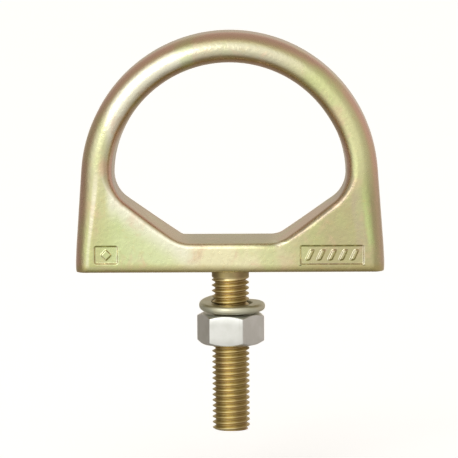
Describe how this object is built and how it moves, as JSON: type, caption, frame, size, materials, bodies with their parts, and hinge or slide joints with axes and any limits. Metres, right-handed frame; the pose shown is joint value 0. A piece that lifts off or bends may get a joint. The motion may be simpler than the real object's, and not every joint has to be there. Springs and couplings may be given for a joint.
{
  "type": "roof anchor",
  "caption": "Forged D-shaped anchor eye on a threaded stud, with a split spring washer and a hex nut that screws along the stud.",
  "frame": {"origin": "on the stud's axis, in the plane of the forging's flat underside", "axes": "+Z from the stud towards the top of the bail, X along the base of the D, front face towards -Y"},
  "size_m": [0.0972, 0.0208, 0.1267],
  "materials": {
    "forging": "yellow zinc passivate, satin, over a fine forged texture",
    "stud": "yellow zinc passivate, bronze tone, machined thread",
    "washer": "pale zinc plate, satin",
    "nut": "bright zinc plate, satin"
  },
  "bodies": {
    "anchor": {"d_ring_forging": "forging", "threaded_stud": "stud"},
    "washer": {"spring_washer": "washer"},
    "nut": {"hex_nut": "nut"}
  },
  "joints": [
    {"name": "nut_travel", "type": "slide", "parent": "anchor", "child": "washer", "axis": [0, 0, 1], "range_m": [-0.044, 0.0084]},
    {"name": "nut_turn", "type": "hinge", "parent": "washer", "child": "nut", "pos_m": [0, 0, 0], "axis": [0, 0, 1], "range_deg": [-9000, 1710]}
  ],
  "couplings": [
    {"joint": "nut_travel", "follows": "nut_turn", "m_per_rad": 0.00027852}
  ]
}
